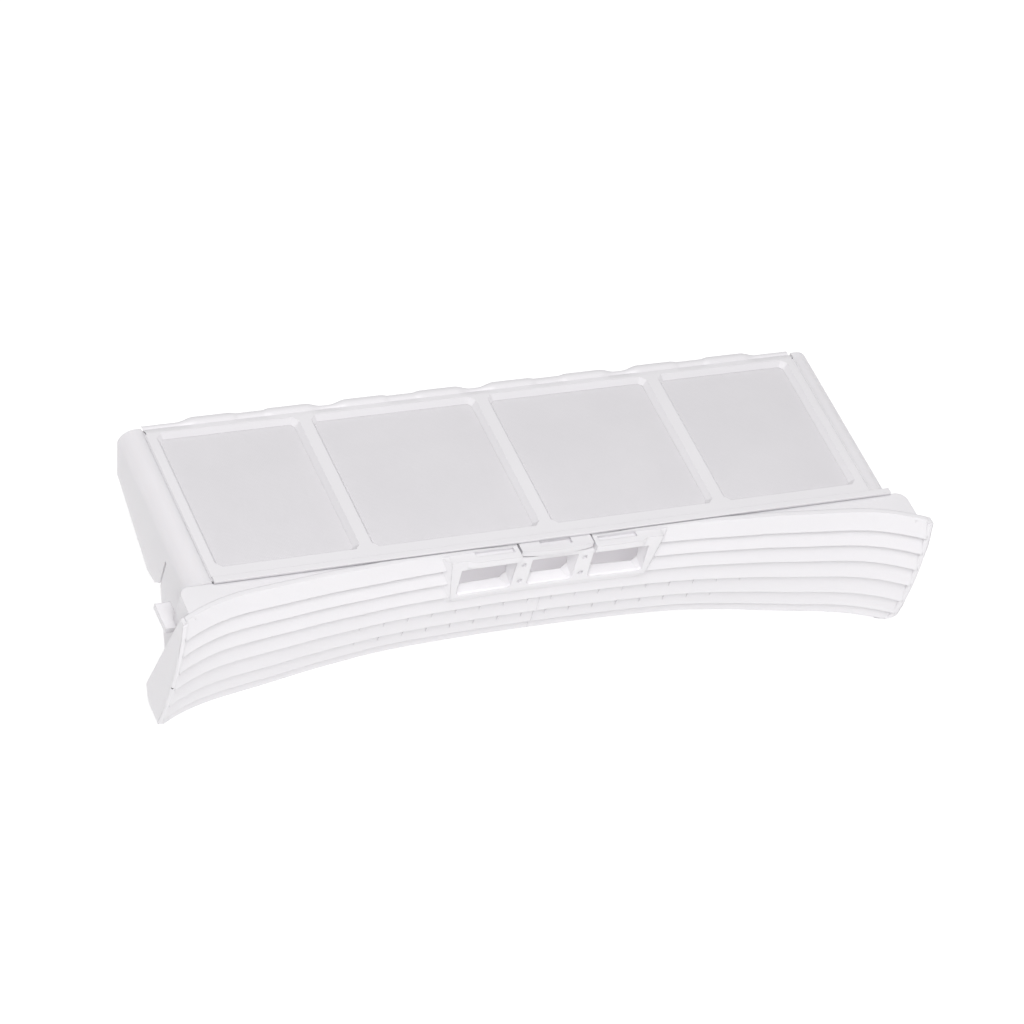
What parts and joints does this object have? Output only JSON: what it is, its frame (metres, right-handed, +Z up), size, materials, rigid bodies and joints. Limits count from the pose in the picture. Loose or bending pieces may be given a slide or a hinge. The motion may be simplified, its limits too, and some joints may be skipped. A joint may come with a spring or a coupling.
{
  "type": "tumble dryer filter",
  "caption": "Lint filter for a tumble dryer: shallow tray and hinged lid with fine mesh windows, behind a concave ridged front panel with finger openings and a latch tab.",
  "frame": {"origin": "middle of the closed lid's top face, on the line along which the filter slides into its slot", "axes": "+X along the filter's length, +Y into the machine (from the ridged panel to the hinge edge), +Z up, normal to the closed lid"},
  "size_m": [0.36, 0.1208, 0.0663],
  "materials": {
    "white_plastic": "white moulded polypropylene, fine satin texture",
    "lid_plastic": "white moulded polypropylene, satin, slightly smoother than the body",
    "mesh": "fine woven polyester screen, light grey"
  },
  "bodies": {
    "body": {"tray": "white_plastic", "front_panel": "white_plastic", "floor_mesh_1": "mesh", "floor_mesh_2": "mesh", "floor_mesh_3": "mesh", "floor_mesh_4": "mesh"},
    "lid": {"lid_frame": "lid_plastic", "lid_mesh_1": "mesh", "lid_mesh_2": "mesh", "lid_mesh_3": "mesh", "lid_mesh_4": "mesh"}
  },
  "joints": [
    {"name": "lid_hinge", "type": "hinge", "parent": "body", "child": "lid", "pos_m": [0, 0.046, -0.0026], "axis": [-1, 0, 0], "range_deg": [0, 110]}
  ]
}
